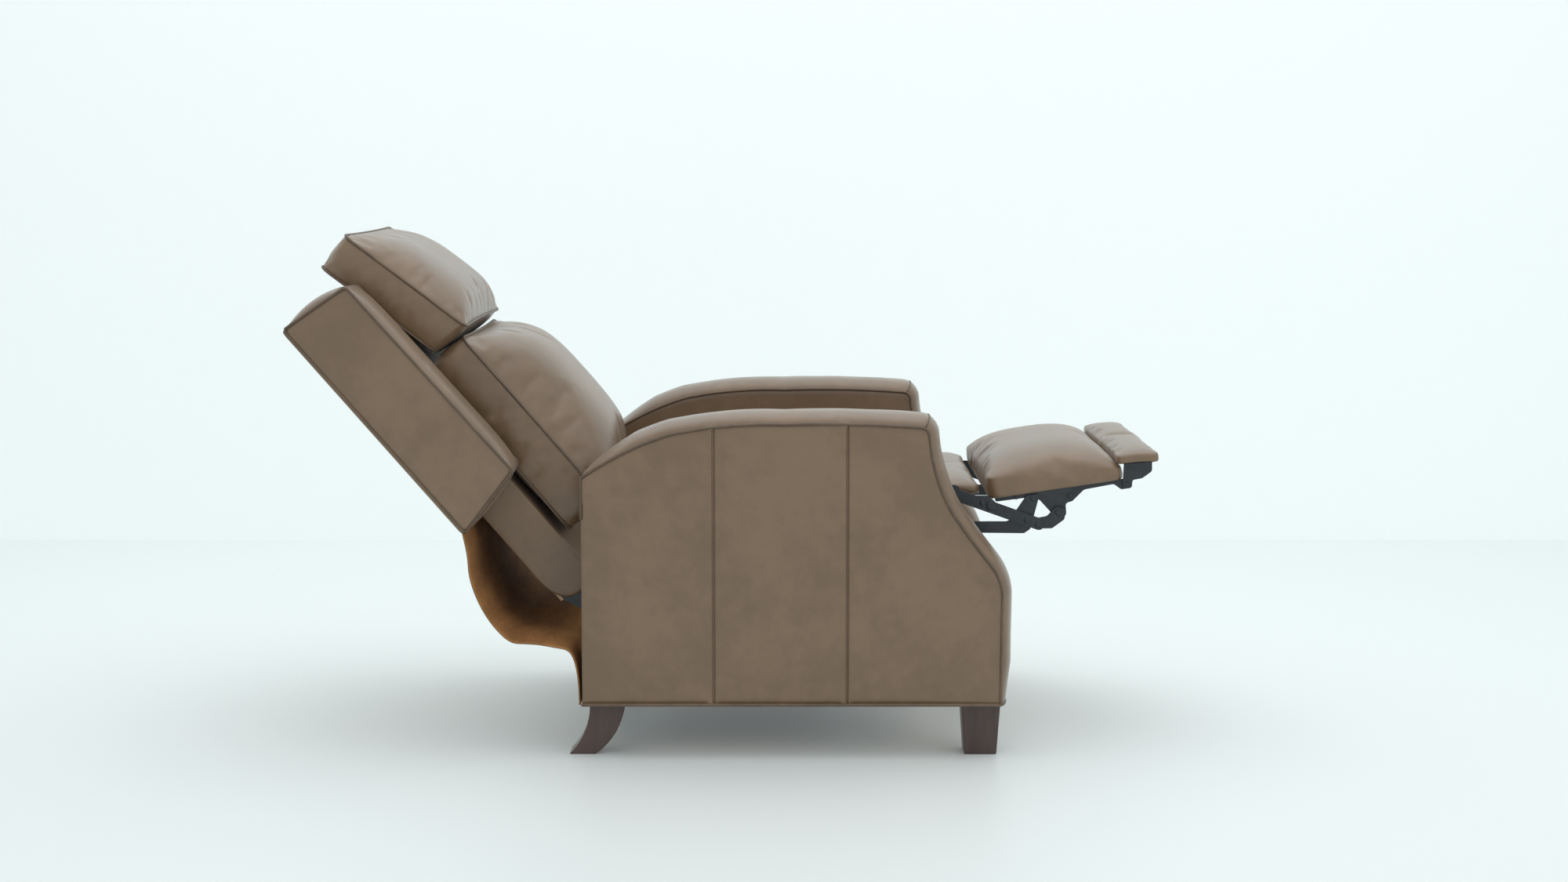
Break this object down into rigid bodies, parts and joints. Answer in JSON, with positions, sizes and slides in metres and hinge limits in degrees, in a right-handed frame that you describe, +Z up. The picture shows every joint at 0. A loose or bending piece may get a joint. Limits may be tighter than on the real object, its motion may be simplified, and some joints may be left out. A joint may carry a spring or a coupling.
{
  "type": "recliner armchair",
  "caption": "Push-back recliner armchair with winged back, pillow head and lumbar cushions, padded arms, folding footrest linkage and tapered wooden legs.",
  "frame": {"origin": "on the floor, at the middle of the overall footprint with the back down and the footrest out", "axes": "+X across the chair towards the sitter's left when seated, -Y ahead where the sitter faces, +Z up"},
  "size_m": [0.8, 1.586, 0.9578],
  "materials": {
    "leather": "soft grained, matt",
    "suede": "leather outside, rough suede inside",
    "dark_wood": "espresso stain, satin",
    "frame_wood": "planed softwood",
    "plywood": "sanded plywood",
    "painted_steel": "dark grey satin",
    "spring_steel": "oiled wire",
    "bolt_steel": "zinc plated",
    "lining": "non-woven black"
  },
  "bodies": {
    "base": {"arm_upholstery_left": "leather", "arm_frame_left": "frame_wood", "arm_upholstery_right": "leather", "arm_frame_right": "frame_wood", "front_rail": "frame_wood", "rear_rail": "frame_wood", "dust_cover": "lining", "front_leg_left": "dark_wood", "rear_leg_left": "dark_wood", "front_leg_right": "dark_wood", "rear_leg_right": "dark_wood", "leg_bolts": "bolt_steel", "mechanism_plate_left": "painted_steel", "mechanism_plate_right": "painted_steel", "cross_tubes": "painted_steel", "plate_bolts": "bolt_steel", "footrest_springs": "spring_steel"},
    "seat": {"seat_side_rails": "frame_wood", "seat_cross_rails": "frame_wood", "seat_springs": "spring_steel", "seat_cushion": "leather", "seat_lugs": "painted_steel"},
    "back": {"back_posts": "frame_wood", "back_rails": "frame_wood", "back_springs": "spring_steel", "back_bracket_left": "painted_steel", "back_bracket_right": "painted_steel", "back_bolts": "bolt_steel", "wing_left": "leather", "wing_right": "leather", "wing_frame_left": "frame_wood", "wing_frame_right": "frame_wood", "outer_back_panel": "leather", "inner_back_pad": "leather", "lumbar_cushion": "leather", "head_cushion": "leather", "back_flap": "suede"},
    "tilt_left": {"tilt_link_left": "painted_steel"},
    "tilt_right": {"tilt_link_right": "painted_steel"},
    "rod_left": {"recline_rod_left": "painted_steel"},
    "rod_right": {"recline_rod_right": "painted_steel"},
    "drive": {"long_link_left": "painted_steel", "long_link_right": "painted_steel", "mid_brackets": "painted_steel", "mid_board": "plywood", "mid_pad": "leather"},
    "bent_left": {"bent_link_left": "painted_steel"},
    "bent_right": {"bent_link_right": "painted_steel"},
    "jog_left": {"jog_link_left": "painted_steel"},
    "jog_right": {"jog_link_right": "painted_steel"},
    "rear_left": {"rear_link_left": "painted_steel"},
    "rear_right": {"rear_link_right": "painted_steel"},
    "footrest": {"footrest_bracket_left": "painted_steel", "footrest_bracket_right": "painted_steel", "footrest_board": "plywood", "footrest_pad": "leather"},
    "flip": {"flip_brackets": "painted_steel", "flip_board": "plywood", "flip_pad": "leather"}
  },
  "joints": [
    {"name": "back_recline", "type": "hinge", "parent": "base", "child": "back", "pos_m": [0, 0.24, 0.25], "axis": [1, 0, 0], "range_deg": [0, 28], "deforming": ["back_flap"]},
    {"name": "seat_tilt", "type": "hinge", "parent": "base", "child": "seat", "pos_m": [0, 0.17, 0.29], "axis": [1, 0, 0], "range_deg": [0, 3]},
    {"name": "tilt_link_left_swing", "type": "hinge", "parent": "base", "child": "tilt_left", "pos_m": [0, -0.2464, 0.2746], "axis": [1, 0, 0], "range_deg": [0, 31.2]},
    {"name": "recline_rod_left_swing", "type": "hinge", "parent": "back", "child": "rod_left", "pos_m": [0, 0.2279, 0.20148], "axis": [1, 0, 0], "range_deg": [-28, 0]},
    {"name": "tilt_link_right_swing", "type": "hinge", "parent": "base", "child": "tilt_right", "pos_m": [0, -0.2464, 0.2746], "axis": [1, 0, 0], "range_deg": [0, 31.2]},
    {"name": "recline_rod_right_swing", "type": "hinge", "parent": "back", "child": "rod_right", "pos_m": [0, 0.2279, 0.20148], "axis": [1, 0, 0], "range_deg": [-28, 0]},
    {"name": "footrest_fold", "type": "hinge", "parent": "base", "child": "drive", "pos_m": [0, -0.4109, 0.4703], "axis": [1, 0, 0], "range_deg": [0, 78.8], "deforming": ["footrest_springs"]},
    {"name": "bent_link_left_swing", "type": "hinge", "parent": "drive", "child": "bent_left", "pos_m": [0, -0.5509, 0.4205], "axis": [1, 0, 0], "range_deg": [0, 26.19]},
    {"name": "rear_link_left_swing", "type": "hinge", "parent": "base", "child": "rear_left", "pos_m": [0, -0.3638, 0.2597], "axis": [1, 0, 0], "range_deg": [-20.4, 0]},
    {"name": "jog_link_left_swing", "type": "hinge", "parent": "drive", "child": "jog_left", "pos_m": [0, -0.572, 0.413], "axis": [1, 0, 0], "range_deg": [0, 32.25]},
    {"name": "bent_link_right_swing", "type": "hinge", "parent": "drive", "child": "bent_right", "pos_m": [0, -0.5509, 0.4205], "axis": [1, 0, 0], "range_deg": [0, 26.19]},
    {"name": "rear_link_right_swing", "type": "hinge", "parent": "base", "child": "rear_right", "pos_m": [0, -0.3638, 0.2597], "axis": [1, 0, 0], "range_deg": [-20.4, 0]},
    {"name": "jog_link_right_swing", "type": "hinge", "parent": "drive", "child": "jog_right", "pos_m": [0, -0.572, 0.413], "axis": [1, 0, 0], "range_deg": [0, 32.25]},
    {"name": "footrest_swing", "type": "hinge", "parent": "jog_left", "child": "footrest", "pos_m": [0, -0.612, 0.434], "axis": [1, 0, 0], "range_deg": [-12.45, 0]},
    {"name": "flip_fold", "type": "hinge", "parent": "footrest", "child": "flip", "pos_m": [0, -0.73573, 0.4869], "axis": [1, 0, 0], "range_deg": [0, 175.4]}
  ],
  "couplings": [
    {"joint": "seat_tilt", "follows": "back_recline", "ratio": 0.10714},
    {"joint": "tilt_link_left_swing", "follows": "back_recline", "ratio": 1.1143},
    {"joint": "recline_rod_left_swing", "follows": "back_recline", "ratio": -1},
    {"joint": "tilt_link_right_swing", "follows": "back_recline", "ratio": 1.1143},
    {"joint": "recline_rod_right_swing", "follows": "back_recline", "ratio": -1},
    {"joint": "bent_link_left_swing", "follows": "footrest_fold", "ratio": 0.33232},
    {"joint": "rear_link_left_swing", "follows": "footrest_fold", "ratio": -0.25888},
    {"joint": "jog_link_left_swing", "follows": "footrest_fold", "ratio": 0.40924},
    {"joint": "bent_link_right_swing", "follows": "footrest_fold", "ratio": 0.33232},
    {"joint": "rear_link_right_swing", "follows": "footrest_fold", "ratio": -0.25888},
    {"joint": "jog_link_right_swing", "follows": "footrest_fold", "ratio": 0.40924},
    {"joint": "footrest_swing", "follows": "footrest_fold", "ratio": -0.15797},
    {"joint": "flip_fold", "follows": "footrest_fold", "ratio": 2.2259}
  ]
}
